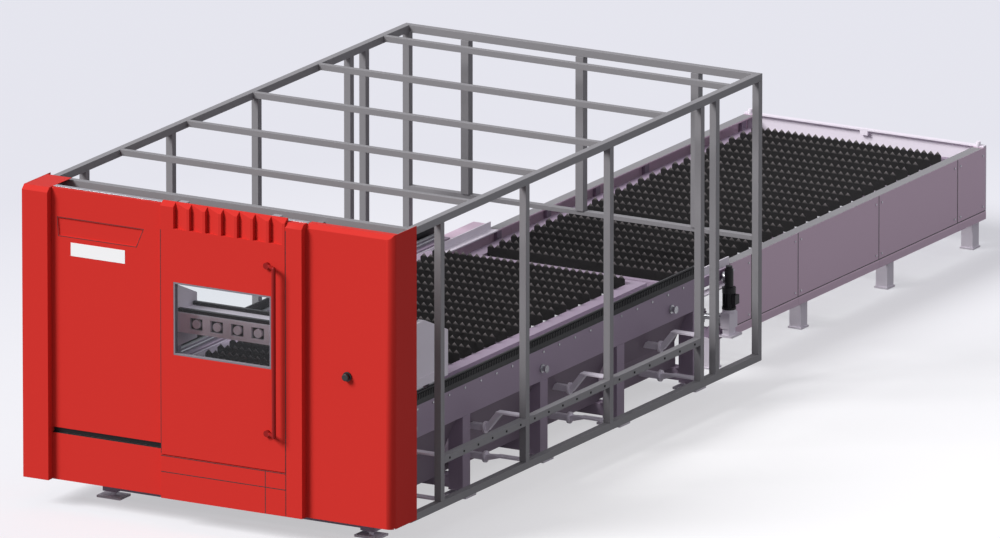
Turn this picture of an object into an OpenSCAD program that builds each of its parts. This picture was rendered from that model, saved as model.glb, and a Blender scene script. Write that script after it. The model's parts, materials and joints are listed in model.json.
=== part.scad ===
// Enclosed sheet laser cutting machine with a two-level exchange table, side panels not fitted.
// Millimetres, +Z up, front towards -Y. Lengths along Y are first measured from the front face of
// the tube enclosure, and the whole machine is then moved so that the origin is at the middle of
// its footprint on the floor.

/* [Tube enclosure] */
// Outside width of the tube enclosure
frame_w = 2757; // [2700:1:2800]
// Length of the tube enclosure behind the front cover
frame_len = 4670; // [4560:10:4800]
// Height of the underside of the enclosure above the floor
frame_bottom = 180; // [160:1:190]
// Height of the top of the enclosure above the floor
frame_top = 2173; // [2140:1:2200]
// Side of the square tube of posts and rails
tube = 50; // [40:1:55]
// Side of the square tube of the roof bars
roof_tube = 40; // [30:1:45]
// Distance from the enclosure front to the middle of the first side post
post_first = 370; // [300:5:420]
// Distance between the first three side posts, as a share of the way from the first to the twin posts
post_share = 0.3234; // [0.31:0.0001:0.34]
// Distance from the first of the two closely spaced posts to the enclosure's back
twin_back = 815; // [760:5:860]
// Distance between the two closely spaced posts
twin_pitch = 205; // [120:5:260]
// Distance from the enclosure front to the middle of the first roof bar
roof_first = 810; // [700:10:850]
// Distance from the middle of the last roof bar to the enclosure's back
roof_back = 372; // [330:1:400]
// Height of the underside of the low side rails
low_rail_z = 480; // [440:1:490]
// Height of the underside of the bar above the rear opening
header_z = 1020; // [1000:5:1100]
// Height of the bar above the rear opening
header_h = 30; // [25:1:50]
// Side of the square posts above the rear opening
rear_post = 60; // [50:1:70]
// Place of the outer posts above the rear opening, as a share of half the width
rear_post_share = 0.6456; // [0.58:0.0001:0.69]

/* [Front cover] */
// Distance that the front cover stands out past the enclosure at each side
cover_over = 16.5; // [14:0.5:22]
// Height of the lower edge of the front cover
cover_bottom = 195; // [190:1:205]
// Distance from the top of the enclosure up to the top of the cover
cover_rise = 17; // [12:1:22]
// Distance from the foremost cover faces back to the enclosure front
cover_depth = 370; // [360:5:420]
// Step from the foremost faces back to the recessed panels
panel_step = 55; // [53:1:60]
// Depth of the folded edge of a panel
fold = 25; // [20:1:30]
// Sheet thickness of the covers
sheet = 3; // [2:0.5:4]
// Height and depth of the bevel along the top edge
bevel = 30; // [20:1:40]
// Width of the left corner column, as a share of the cover
column_share = 0.0699; // [0.06:0.0001:0.073]
// Width of the recessed left panel, as a share of the cover
left_share = 0.309; // [0.3:0.0001:0.312]
// Width of the door, as a share of the cover
door_share = 0.3405; // [0.333:0.0001:0.345]
// Width of the pillar to the right of the door, as a share of the cover
pillar_share = 0.0452; // [0.04:0.0001:0.05]
// Radius of the right front corner
corner_r = 50; // [30:1:60]
// Height of the lower edge of the door's guide slot
slot_z = 513; // [505:1:520]
// Height of the door's guide slot
slot_h = 39; // [30:1:45]
// Height of the joint between the sill panels
sill_seam_z = 377; // [340:1:420]
// Width of the narrow sill panels at the pillar
sill_end_w = 152; // [120:1:200]
// Open seam between neighbouring panels
seam = 2; // [1:0.5:3]
// Depth of the shallow recess in the left panel
recess_depth = 8; // [2:1:10]

/* [Door] */
// Height of the lower edge of the door
door_bottom = 495; // [492:1:500]
// Distance from the top of the cover up to the top of the door
door_rise = 25; // [18:1:35]
// Thickness of the door
door_t = 50; // [45:1:52]
// Height of the louvres along the door's top
vent_h = 175; // [140:5:220]
// Distance from the door's left edge to the first louvre
vent_first = 101; // [80:1:110]
// Width of a louvre's slope, as a share of the distance between louvres
vent_share = 0.83; // [0.6:0.01:0.9]
// Depth of a louvre
vent_depth = 35; // [25:1:40]
// Number of louvres
vent_count = 7; // [5:1:8]
// Distance from the door's left edge to the window
window_x = 100; // [95:1:110]
// Distance from the window to the door's right edge
window_end = 107; // [100:1:120]
// Height of the window's lower edge above the door's, as a share of the door
window_low = 0.4; // [0.38:0.001:0.42]
// Height of the window, as a share of the door
window_share = 0.2884; // [0.26:0.0001:0.3]
// Thickness of the window pane
pane_t = 6; // [5:1:8]
// Radius of the handle tube
handle_r = 14; // [12:1:18]
// Distance from the door's right edge to the handle tube
handle_x = 50; // [45:1:60]
// Distance from the door's face to the middle of the handle tube
handle_out = 60; // [50:1:70]
// Distance along the door from the handle tube to its feet
handle_side = 80; // [60:1:90]
// Height of the handle's lower end above the door's, as a share of the door
handle_low = 0.1465; // [0.12:0.0005:0.18]
// Length of the handle, as a share of the door
handle_share = 0.6628; // [0.58:0.0001:0.7]

/* [Bed] */
// Distance from the side of the enclosure in to the bed
bed_gap = 338.5; // [330:0.5:345]
// Distance from the enclosure front to the front of the bed
bed_front = 60; // [40:5:80]
// Distance from the back of the bed to the enclosure's back
bed_end = 190; // [180:5:230]
// Width of the bed's side beams
beam_w = 110; // [105:1:120]
// Height of the bed's side beams
beam_h = 220; // [205:1:230]
// Height of the top of the side beams above the floor
beam_top = 775; // [765:1:790]
// Width of a bed column
column_side = 100; // [90:1:110]
// Place of the second bed column, as a share of the bed's length
column_place = 0.263; // [0.25:0.001:0.27]
// Distance from the last bed column to the back of the bed
column_end = 53; // [40:1:70]
// Height of the underside of the bed columns
column_z = 45; // [40:1:60]
// Thickness of a foot plate
foot_t = 15; // [12:1:20]
// Length of a foot plate across the bed
foot_w = 180; // [150:5:200]
// Width of a foot plate along the bed
foot_d = 140; // [110:5:160]
// Height of the black guard strip on the side beams
guard_h = 90; // [75:1:95]
// Height of the bend in the hopper plates
knee_z = 330; // [310:5:350]
// Radius of the round dampers between bed and enclosure
damper_r = 40; // [30:1:45]
// Width of the brackets between the dampers and the posts
bracket_w = 60; // [44:1:70]

/* [Gantry] */
// Front face of the gantry end boxes when the gantry is parked
gantry_y = 550; // [520:5:600]
// Length of the gantry end boxes
end_len = 445; // [430:5:480]
// Distance from the top of the bed up to the gantry end boxes
end_rise = 125; // [120:1:140]
// Height of the gantry end boxes at the front
end_h = 445; // [400:5:470]
// Height of the gantry end boxes at the back
end_back_h = 312; // [290:2:340]
// Width of the gantry end boxes
end_w = 200; // [190:1:210]
// Depth of the gantry beam
gbeam_d = 250; // [230:5:260]
// Height of the gantry beam
gbeam_h = 135; // [120:1:150]
// Distance between the pockets in the gantry beam
pocket_pitch = 157; // [130:1:180]
// Place of the parked carriage, as a share of half the gantry beam
carriage_share = 0.58; // [0.47:0.01:0.65]
// Width of the carriage
carriage_w = 240; // [220:5:260]
// Height of the nozzle tip above the slats when parked
nozzle_gap = 125; // [115:1:135]

/* [Exchange pallets] */
// Front edge of the upper pallet when it is inside
pallet_y = 150; // [140:5:200]
// Distance from the upper pallet's back edge to the enclosure's back
pallet_back = 630; // [600:10:700]
// Distance from the side of the bed in to a pallet
pallet_gap = 190; // [188:1:195]
// Width of a pallet's side beams
pallet_beam = 105; // [90:1:115]
// Height of a pallet's beams
pallet_beam_h = 70; // [62:1:74]
// Height of the top of a pallet's beams above the wheel track
pallet_beam_top = 82; // [80:1:86]
// Width of a pallet's end beams
pallet_end = 40; // [30:1:60]
// Depth of the upper wheel track below the top of the bed
track_drop = 62; // [58:1:65]
// Drop from the upper to the lower wheel track
level_drop = 145; // [140:1:150]
// Radius of a pallet wheel
wheel_r = 35; // [32:1:36]
// Width of a pallet wheel
wheel_w = 30; // [25:1:32]
// Radius of a wheel axle
axle_r = 14; // [12:1:16]
// Height of the slat tips above the wheel track
slat_rise = 147; // [140:1:150]
// Height of a slat
slat_h = 100; // [85:1:105]
// Thickness of a slat
slat_t = 4; // [3:0.5:6]
// Number of slats on a pallet
slat_count = 24; // [16:1:30]
// Number of teeth on a slat
slat_teeth = 28; // [10:1:30]
// Height of a slat's teeth
tooth_h = 28; // [20:1:35]

/* [Rear table] */
// Distance from a pallet's side out to the table's side
table_gap = 90; // [86:1:95]
// Distance from the enclosure's back to the table's side panels
table_start = 350; // [330:5:380]
// Distance that the lower pallet reaches into the enclosure when it is out on the table
lower_in = 120; // [80:5:160]
// Distance from the lower pallet to the back of the table
table_end = 170; // [140:1:200]
// Height of the lower edge of the table's side panels
panel_z = 205; // [195:1:225]
// Thickness of the side panels and track plates
plate = 10; // [8:1:11]
// Side of a table leg
leg_side = 90; // [80:1:100]
// Distance from the enclosure's back to the first table leg
leg_start = 200; // [180:5:230]
// Distance from the last table leg to the back of the table
leg_end = 18; // [12:1:40]
// Height of the lip along the bottom of the side panels
lip_h = 55; // [40:1:70]
// Height of the drive shaft above the floor
shaft_z = 350; // [345:1:360]
// Radius of the drive shaft
shaft_r = 20; // [16:1:22]

/* [Clearances] */
// Gap between pieces that seat on each other without moving
seat = 0.3; // [0.2:0.05:0.5]
// Gap between a moving piece and what guides it
run = 0.5; // [0.4:0.05:0.8]
// Radial clearance of a shaft in its bore
shaft_fit = 0.05; // [0.03:0.01:0.08]

/* [Hidden] */
$fn = 48;
e = 1;
frame_half = frame_w / 2;
twin_post = frame_len - twin_back;
post_pitch = post_share * (twin_post - post_first);
side_posts = [post_first, post_first + post_pitch, post_first + 2 * post_pitch,
              twin_post, twin_post + twin_pitch];
roof_count = 5;
roof_pitch = (frame_len - roof_back - roof_first) / (roof_count - 1);
roof_bars_y = [for (i = [0:roof_count - 1]) roof_first + i * roof_pitch];
rear_post_x = rear_post_share * frame_half;

cover_half = frame_half + cover_over;
cover_w = 2 * cover_half;
cover_top = frame_top + cover_rise;
y_proud = -cover_depth;
y_panel = y_proud + panel_step;
y_post = y_panel + fold;
x_column = -cover_half + column_share * cover_w;
x_door = x_column + left_share * cover_w;
x_pillar = x_door + door_share * cover_w;
x_right = x_pillar + pillar_share * cover_w;
panel_top = cover_top - sheet;
front_tube = 40;
sill_gap = 23;
hang_rail_w = 40;
hang_rail_h = 48;
hang_rail_y = y_post + 2;
hang_rail_top = cover_top;
post_top = hang_rail_top - hang_rail_h;

door_top = cover_top + door_rise;
door_h = door_top - door_bottom;
door_x1 = x_pillar - seam;
door_y1 = y_proud + door_t;
vent_pitch = (door_x1 - x_door - vent_first) / vent_count;
win_x0 = x_door + window_x;
win_x1 = door_x1 + seam - window_end;
window_z = door_bottom + window_low * door_h;
win_z1 = window_z + window_share * door_h;
handle_cx = door_x1 - handle_x;
handle_z = door_bottom + handle_low * door_h;
handle_len = handle_share * door_h;
stop_x = (x_right + cover_half - corner_r) / 2 + 12;
stop_z = 1197;
stop_r = 25;
stop_travel = 6;

bed_half = frame_half - bed_gap;
bed_back = frame_len - bed_end;
bed_len = bed_back - bed_front;
beam_in = bed_half - beam_w;
beam_z = beam_top - beam_h;
col_first = bed_front + column_place * bed_len;
col_pitch = (bed_back - column_end - column_side - col_first) / 3;
bed_cols = concat([bed_front], [for (i = [0:3]) col_first + i * col_pitch]);
lift_y = [for (share = [0.1063, 0.5023, 0.8982]) bed_front + share * bed_len];
tray_z = 140;
tray_h = 50;
rail_x = bed_half - beam_w / 2;
rail_w = 30;
rail_h = 40;
hopper_t = 6;
hopper_xt = bed_half - 40;
hopper_xk = bed_half - 140;
hopper_zb = 157;
pad_x = bed_half + 10;
pad_t = 16;
bracket_t = 12;
bracket_x = pad_x + 100;
bracket_z = [low_rail_z + tube + 6, frame_bottom + tube + 4];
damper_z = [bracket_z[0] - 112, bracket_z[1] - 12];

pallet_half = bed_half - pallet_gap;
pallet_len = frame_len - pallet_back - pallet_y;
track_in = pallet_half + 10;
track_start = 340;
wheel_in = pallet_half + 12;
upper_track_z = beam_top - track_drop;
lower_track_z = upper_track_z - level_drop;
slat_half = pallet_half - pallet_beam;
slat_len = 2 * slat_half - 2 * seat;
slat_pitch = (pallet_len - 2 * pallet_end) / slat_count;
wheel_inset = pallet_end + 3 * slat_pitch;

table_half = pallet_half + table_gap;
table_in = table_half - plate;
table_front = frame_len + table_start;
upper_y = pallet_y;
lower_y = frame_len - lower_in;
table_back = lower_y + pallet_len + table_end;
table_len = table_back - table_front;
panel_seams = [for (share = [0.081, 0.261, 0.576, 0.886]) table_front + share * table_len];
upright_w = 60;
upright_pitch = (table_len - 198) / 5;
uprights_y = [for (i = [0:5]) table_front + upright_w + i * upright_pitch];
leg_first = frame_len + leg_start;
leg_pitch = (table_back - leg_end - leg_side - leg_first) / 3;
legs_y = [for (i = [0:3]) leg_first + i * leg_pitch];
side_beam_h = 85;
side_beam_w = 80;
link_top = beam_top - 30;
shaft_y = leg_first + 60;
gear_w = 70;
gear_d = 110;
gear_x = table_in + 15;
sprocket_x = table_in - 170;
sprocket_w = 16;

end_z = beam_top + end_rise;
end_in = track_in;
end_out = end_in + end_w;
gbeam_y = gantry_y + 170;
gbeam_z = end_z + 105;
gbeam_top = gbeam_z + gbeam_h;
gbeam_back = gbeam_y + gbeam_d;
pocket_count = floor((2 * end_in - 100) / pocket_pitch);
motor_side = 90;
motor_flange = 110;
motor_y = gantry_y + 70;
cross_rail_h = 25;
cross_rail_w = 30;
carriage_x = carriage_share * end_in;
nozzle_tip = upper_track_z + slat_rise + nozzle_gap;
saddle_h = 60;
apron_t = 30;
apron_gap = 10;
apron_back = gbeam_back + apron_gap + apron_t;
head_plate_t = 24;

y_first = y_proud - handle_out - handle_r;
y_mid = (y_first + table_back) / 2;
red = [0.82, 0.23, 0.2];
tube_grey = [0.5, 0.5, 0.51];
bed_grey = [0.42, 0.38, 0.44];
lilac = [0.55, 0.48, 0.55];
pale = [0.78, 0.74, 0.8];
steel = [0.55, 0.56, 0.58];
dark = [0.12, 0.12, 0.13];

// Places a piece that is drawn with Y measured from the enclosure front
module placed() { translate([0, -y_mid, 0]) children(); }

// Draws its children and their mirror image on the other side of the machine
module both_sides() { children(); mirror([1, 0, 0]) children(); }

// A block between two corners
module block(a, b) { translate(a) cube(b - a); }

// A profile given in Y and Z, drawn out along X
module along_x(x0, x1) { translate([x0, 0, 0]) rotate([90, 0, 90]) linear_extrude(x1 - x0) children(); }

// A profile given in X and Z, drawn out along Y
module along_y(y0, y1) { translate([0, y1, 0]) rotate([90, 0, 0]) linear_extrude(y1 - y0) children(); }

// Side view of a cover with a bevelled top front edge
module cover_profile(y0, y1, z0, z1, cut) {
    polygon([[y0, z0], [y1, z0], [y1, z1], [y0 + cut, z1], [y0, z1 - cut]]);
}

// A folded sheet panel, open at the back
module pan(x0, x1, y0, depth, z0, z1, cut) {
    difference() {
        along_x(x0, x1) cover_profile(y0, y0 + depth, z0, z1, cut);
        along_x(x0 + sheet, x1 - sheet)
            cover_profile(y0 + sheet, y0 + depth + e, z0 + sheet, z1 - sheet, cut);
    }
}

module side_frame() {
    x1 = frame_half;
    x0 = x1 - tube;
    z0 = frame_bottom + tube + seat;
    z1 = frame_top - tube - seat;
    block([x0, -tube, frame_bottom], [x1, frame_len, frame_bottom + tube]);
    block([x0, -tube, frame_top - tube], [x1, frame_len, frame_top]);
    block([x0, -tube, z0], [x1, 0, z1]);
    block([x0, frame_len - tube, z0], [x1, frame_len, z1]);
    for (y = side_posts) block([x0, y - tube / 2, z0], [x1, y + tube / 2, z1]);
    for (i = [0:2])
        block([x0, side_posts[i] + tube / 2 + seat, low_rail_z],
              [x1, side_posts[i + 1] - tube / 2 - seat, low_rail_z + tube]);
}
module side_frame_left() { color(tube_grey) placed() mirror([1, 0, 0]) side_frame(); }
module side_frame_right() { color(tube_grey) placed() side_frame(); }

module roof_bars() {
    x1 = frame_half - tube - seat;
    color(tube_grey) placed()
        for (y = roof_bars_y)
            block([-x1, y - roof_tube / 2, frame_top - roof_tube], [x1, y + roof_tube / 2, frame_top]);
}

module rear_frame() {
    x1 = frame_half - tube - seat;
    y0 = frame_len - tube;
    color(tube_grey) placed() {
        block([-x1, y0, frame_top - tube], [x1, frame_len, frame_top]);
        block([-x1, y0, header_z], [x1, frame_len, header_z + header_h]);
        for (x = [-rear_post_x, 0, rear_post_x])
            block([x - rear_post / 2, frame_len - rear_post, header_z + header_h + seat],
                  [x + rear_post / 2, frame_len, frame_top - tube - seat]);
    }
}

// Posts behind the front cover, the rails between them and the ties back to the enclosure
front_posts_x = [x_column - 111, x_door - front_tube - 42, x_right - 48, cover_half - corner_r - 55];
module front_frame() {
    x1 = frame_half - tube - seat;
    t = front_tube;
    color(tube_grey) placed() {
        block([-x1, -tube, frame_bottom], [x1, 0, frame_bottom + tube]);
        block([-x1, -tube, frame_top - tube], [x1, 0, frame_top]);
        for (x = front_posts_x) {
            block([x, y_post, cover_bottom], [x + t, y_post + t, post_top]);
            block([x, y_post + t + seat, cover_bottom], [x + t, -tube - seat, cover_bottom + t]);
            block([x, y_post + t + seat, post_top - t], [x + t, -tube - seat, post_top]);
        }
        for (z = [cover_bottom, slot_z - sill_gap - t])
            block([front_posts_x[1] + t + seat, y_post, z], [front_posts_x[2] - seat, y_post + t, z + t]);
    }
}

module corner_column() {
    color(red) placed() union() {
        pan(-cover_half, x_column, y_proud, panel_step + fold, cover_bottom, cover_top, bevel);
        block([-cover_half, y_post - e, cover_bottom], [-cover_half + sheet, 0, cover_top]);
        block([front_posts_x[0], y_post - sheet, cover_bottom], [x_column - e, y_post, cover_top - sheet]);
    }
}

module left_panel() {
    x0 = x_column + seat;
    x1 = x_door - seam;
    z1 = panel_top;
    color(red) placed() union() {
        difference() {
            pan(x0, x1, y_panel, fold, slot_z + slot_h, z1, 0);
            along_y(y_panel - e, y_panel + sheet + e) recess_outline(x0, x1, z1, 0);
        }
        translate([0, recess_depth, 0]) difference() {
            along_y(y_panel - recess_depth, y_panel + sheet) recess_outline(x0, x1, z1, sheet);
            along_y(y_panel - recess_depth - e, y_panel) recess_outline(x0, x1, z1, 0);
        }
    }
}
// Outline of the shallow recess near the top of the left panel, grown by a margin
module recess_outline(x0, x1, z1, grow) {
    zt = z1 - 202 + grow;
    zb = z1 - 320 - grow;
    polygon([[x0 + 48 - grow, zt], [x1 - 163 + grow, zt], [x1 - 216 + grow, zb], [x0 + 57 - grow, zb]]);
}

module left_kick_panel() {
    color(red) placed() pan(x_column + seat, x_door - seam, y_panel, fold, cover_bottom, slot_z, 0);
}

module door_pillar() {
    color(red) placed() union() {
        pan(x_pillar, x_right, y_proud, panel_step + fold, cover_bottom, cover_top, bevel);
        block([x_pillar + e, y_post - sheet, cover_bottom], [x_right - e, y_post, cover_top - sheet - bevel]);
    }
}

module sill_panels() {
    x_mid = x_pillar - sill_end_w;
    z1 = slot_z - sill_gap;
    rows = [[cover_bottom, sill_seam_z - seam], [sill_seam_z, z1]];
    color(red) placed()
        for (r = rows) {
            pan(x_door, x_mid - seam, y_proud, panel_step + fold, r[0], r[1], 0);
            pan(x_mid, x_pillar - seat, y_proud, panel_step + fold, r[0], r[1], 0);
        }
}

// Plan of the right panel with its round corner, shrunk by the sheet for the inside
module right_plan(inset, y1) {
    r = corner_r - inset;
    x1 = cover_half - inset;
    y0 = y_panel + inset;
    x0 = x_right + seat + inset;
    union() {
        translate([x0, y0]) square([x1 - r - x0, y1 - y0]);
        translate([x1 - r, y0 + r]) square([r, y1 - y0 - r]);
        translate([x1 - r, y0 + r]) circle(r);
    }
}
module right_panel() {
    color(red) placed() difference() {
        intersection() {
            translate([0, 0, cover_bottom]) linear_extrude(cover_top - cover_bottom) right_plan(0, 0);
            along_x(0, cover_w) cover_profile(y_panel, e, cover_bottom, cover_top, bevel);
        }
        intersection() {
            translate([0, 0, cover_bottom + sheet])
                linear_extrude(cover_top - cover_bottom - 2 * sheet) right_plan(sheet, e);
            along_x(0, cover_w)
                cover_profile(y_panel + sheet, 2 * e, cover_bottom, cover_top - sheet, bevel);
        }
        block([x_right - e, y_post, cover_bottom - e], [cover_half - sheet, 2 * e, cover_bottom + 2 * sheet]);
        block([x_right - e, y_panel + 3 * fold, cover_top - 2 * sheet],
              [cover_half - sheet, 2 * e, cover_top + e]);
        block([x_right - e, y_post, cover_bottom - e], [x_right + 2 * sheet, e, cover_top + e]);
    }
}

module door_hang_rail() {
    color(steel) placed()
        block([x_column + seat, hang_rail_y, post_top],
              [x_right - 5, hang_rail_y + hang_rail_w, hang_rail_top]);
}

module door_guide() {
    z0 = slot_z + seat;
    z1 = slot_z + slot_h - seat;
    color(dark) placed() union() {
        block([x_column + seat, y_post - sheet, z0], [x_pillar - seat, y_post, z1]);
        block([x_column + seat, y_panel + 3, z0], [x_pillar - seat, y_post - sheet + e, z0 + sheet]);
    }
}

module stop_button_collar() {
    color(dark) placed() translate([stop_x, y_panel - seat, stop_z]) rotate([90, 0, 0]) difference() {
        cylinder(h = 12, r = stop_r + 7);
        translate([0, 0, -e]) cylinder(h = 12 + 2 * e, r = 12 + run);
    }
}

module stop_button() {
    color(dark) placed() translate([stop_x, y_panel - seat, stop_z]) rotate([90, 0, 0]) union() {
        translate([0, 0, stop_travel + run]) cylinder(h = 14, r = 12);
        translate([0, 0, 12 + stop_travel + run]) rotate_extrude()
            polygon(concat([[0, 0], [stop_r - 6, 0], [stop_r, 5]],
                           [for (a = [0:15:90]) [(stop_r - 8) + 8 * cos(a), 14 + 8 * sin(a)]],
                           [[0, 22]]));
    }
}

module bed_side_beams() {
    color(bed_grey) placed() both_sides() difference() {
        block([beam_in, bed_front, beam_z], [bed_half, bed_back, beam_top]);
        for (y = [bed_front - e, bed_back - 200])
            block([beam_in + plate, y, beam_z + plate],
                  [bed_half - plate, y + 200 + e, beam_top - plate]);
    }
}

module bed_columns() {
    color(bed_grey) placed() both_sides()
        for (y = bed_cols) block([beam_in, y, column_z], [bed_half, y + column_side, beam_z - seat]);
}

module cross_beams() {
    x_bed = beam_in - seat;
    x_table = table_in - side_beam_w - seat;
    color(bed_grey) placed() {
        for (y = bed_cols)
            block([-x_bed, y, column_z + 15], [x_bed, y + column_side, tray_z]);
        for (y = legs_y)
            block([-x_table, y + 20, panel_z + 10], [x_table, y + 70, panel_z + 70]);
    }
}

// Bent plates that close the bed between its columns and lead slag to the tray
module hopper_plates() {
    zt = beam_z - seat;
    xk = hopper_xk;
    t = hopper_t;
    color([0.32, 0.28, 0.32]) placed() both_sides()
        for (i = [0:3])
            along_y(bed_cols[i] + column_side + seat, bed_cols[i + 1] - seat)
                polygon([[hopper_xt - t, zt], [hopper_xt, zt], [xk, knee_z], [xk, hopper_zb],
                         [xk - t, hopper_zb], [xk - t, knee_z]]);
}

module slag_tray() {
    x1 = pallet_half;
    y0 = bed_cols[0];
    y1 = bed_cols[4] + column_side;
    z0 = tray_z + seat;
    z1 = z0 + tray_h;
    color([0.25, 0.24, 0.26]) placed() difference() {
        block([-x1, y0, z0], [x1, y1, z1]);
        block([-x1 + sheet, y0 + sheet, z0 + sheet], [x1 - sheet, y1 - sheet, z1 + e]);
    }
}

module bed_feet() {
    color(pale) placed() both_sides()
        for (y = bed_cols) translate([bed_half - beam_w / 2, y + column_side / 2, 0]) union() {
            translate([-foot_w / 2, -foot_d / 2, 0]) cube([foot_w, foot_d, foot_t]);
            cylinder(h = column_z - seat, r = 18);
        }
}

// Brackets from the dampers on the bed out to the side posts, which carry the tube enclosure
module frame_brackets() {
    x1 = frame_half - tube - seat;
    x0 = pad_x + pad_t + seat;
    foot = 18;
    lap = 40;
    color(pale) placed() both_sides()
        for (i = [0:3])
            for (k = [0:1])
                translate([0, side_posts[i], 0]) union() {
                    block([bracket_x, -bracket_w / 2, bracket_z[k]],
                          [x1, bracket_w / 2, bracket_z[k] + bracket_t]);
                    along_y(-bracket_w / 3, bracket_w / 3)
                        polygon([[x0, damper_z[k] - foot], [x0 + foot, damper_z[k] - foot],
                                 [bracket_x + lap, bracket_z[k] + e],
                                 [bracket_x + lap, bracket_z[k] + bracket_t - e],
                                 [bracket_x, bracket_z[k] + bracket_t - e], [x0, damper_z[k] + foot]]);
                }
}

// Outer face of a hopper plate at a height
function hopper_x(z) =
    z > knee_z ? hopper_xk + (hopper_xt - hopper_xk) * (z - knee_z) / (beam_z - seat - knee_z) : hopper_xk;

// Round rubber dampers between the bed and the enclosure's brackets, each on an arm from a hopper plate
module damper_cylinders() {
    arm = damper_r / 2;
    color(pale) placed() both_sides()
        for (i = [0:3])
            for (z = damper_z) translate([0, side_posts[i], 0]) union() {
                along_y(-arm, arm)
                    polygon([[hopper_x(z - arm) + seat, z - arm], [pad_x + e, z - arm], [pad_x + e, z + arm],
                             [hopper_x(z + arm) + seat, z + arm]]);
                translate([pad_x, 0, z]) rotate([0, 90, 0]) cylinder(h = pad_t, r = damper_r);
            }
}

module lifting_eyes() {
    color(steel) placed() both_sides()
        for (y = lift_y) translate([bed_half + seat, y, beam_z + 85]) rotate([0, 90, 0]) union() {
            cylinder(h = 8, r = 30);
            cylinder(h = 38, r = 18);
            translate([0, 0, 32]) cylinder(h = 8, r = 26);
        }
}

module guide_rails() {
    color(steel) placed() both_sides()
        along_y(bed_front + 40, bed_back - 40)
            translate([rail_x, beam_top + seat])
                polygon([[-rail_w / 2, 0], [rail_w / 2, 0], [rail_w / 2, 14], [rail_w / 2 - 5, 20],
                         [rail_w / 2, 26], [rail_w / 2, rail_h], [-rail_w / 2, rail_h],
                         [-rail_w / 2, 26], [-rail_w / 2 + 5, 20], [-rail_w / 2, 14]]);
}

module rail_guards() {
    color(dark) placed() both_sides()
        block([bed_half - 14, bed_front, beam_top + seat], [bed_half, bed_back, beam_top + guard_h]);
}

// Angles that the upper pallet's wheels run on inside the machine
module upper_tracks() {
    x1 = beam_in - seat;
    z = upper_track_z;
    leg = 50;
    color(pale) placed() both_sides()
        along_y(bed_front + track_start, table_front - seat)
            polygon([[track_in, z - plate], [x1, z - plate], [x1, z + leg], [x1 - plate, z + leg],
                     [x1 - plate, z], [track_in, z]]);
}

// Flat tracks that the lower pallet's wheels run on
module lower_tracks() {
    color(pale) placed() both_sides()
        block([track_in, bed_front + track_start, lower_track_z - plate],
              [min(beam_in, table_in) - seat, table_back - 30, lower_track_z]);
}

module link_box() {
    x1 = bed_half + 15;
    color(lilac) placed() difference() {
        block([-x1, bed_back + 20, beam_z], [-beam_in, table_front - seat, link_top]);
        for (i = [0:5])
            block([-x1 - e, bed_back + 120 + 60 * i, link_top - 150],
                  [-x1 + 10, bed_back + 150 + 60 * i, link_top - 40]);
    }
}

module table_side_panels() {
    ys = concat([table_front], panel_seams, [table_back - plate - seat]);
    color(lilac) placed() both_sides()
        for (i = [0:len(ys) - 2])
            along_y(ys[i] + (i > 0 ? seam : 0), ys[i + 1])
                polygon([[table_in, panel_z], [table_half + 6, panel_z],
                         [table_half + 6, panel_z + lip_h - 6],
                         [table_half, panel_z + lip_h], [table_half, upper_track_z],
                         [track_in, upper_track_z], [track_in, upper_track_z - plate],
                         [table_in, upper_track_z - plate]]);
}

module table_end_panel() {
    y0 = table_back - plate;
    z1 = upper_track_z + 12;
    flange = 30;
    color(pale) placed() union() {
        block([-table_half, y0, panel_z], [table_half, table_back, z1]);
        block([-table_half, y0 - flange, z1 - plate], [table_half, table_back, z1]);
        block([-flange, y0 - flange, upper_track_z - flange], [flange, y0 + e, z1 - e]);
        for (s = [-1, 1])
            translate([s * (table_half - 45), y0 - 22, upper_track_z + seat]) cylinder(h = 40, r = 16);
    }
}

module table_beams() {
    z0 = panel_z + 10;
    color(bed_grey) placed() both_sides()
        block([table_in - side_beam_w, leg_first, z0],
              [table_in - seat, table_back - plate - seat, z0 + side_beam_h]);
}

module table_legs() {
    x1 = table_in - 35;
    color(pale) placed() both_sides()
        for (y = legs_y) union() {
            block([x1 - leg_side, y, 0], [x1, y + leg_side, panel_z + 10 - seat]);
            block([x1 - leg_side - 8, y - 8, 0], [x1 + 8, y + leg_side + 8, 12]);
        }
}

// Upright plates that carry the lower track and the table's top ledge
module table_uprights() {
    z0 = panel_z + 10 + side_beam_h + seat;
    x1 = table_in - seat;
    x0 = x1 - 25;
    color(bed_grey) placed() both_sides()
        for (y = uprights_y) {
            block([x0, y, z0], [x1, y + upright_w, lower_track_z - plate - seat]);
            block([x0, y, lower_track_z + seat], [x1, y + upright_w, upper_track_z - plate - seat]);
        }
}

module drive_gearbox() {
    g = gear_d / 2;
    foot_y = leg_first + 5;
    color(pale) placed() difference() {
        union() {
            block([gear_x, shaft_y - g, shaft_z - g], [gear_x + gear_w, shaft_y + g, shaft_z + g]);
            translate([gear_x - 15 + seat, shaft_y, shaft_z]) rotate([0, 90, 0]) cylinder(h = 16, r = 36);
            translate([gear_x + gear_w / 2, shaft_y, shaft_z + g - e]) cylinder(h = 21, r = 46);
            block([table_in + seat, foot_y, panel_z + 30],
                  [gear_x + gear_w + 20, foot_y + gear_d + 30, panel_z + 45]);
            block([gear_x + 10, shaft_y - g + 10, panel_z + 44],
                  [gear_x + gear_w - 10, shaft_y + g - 10, shaft_z]);
        }
        translate([gear_x - 20, shaft_y, shaft_z]) rotate([0, 90, 0])
            cylinder(h = 80, r = shaft_r + shaft_fit);
    }
}

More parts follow.
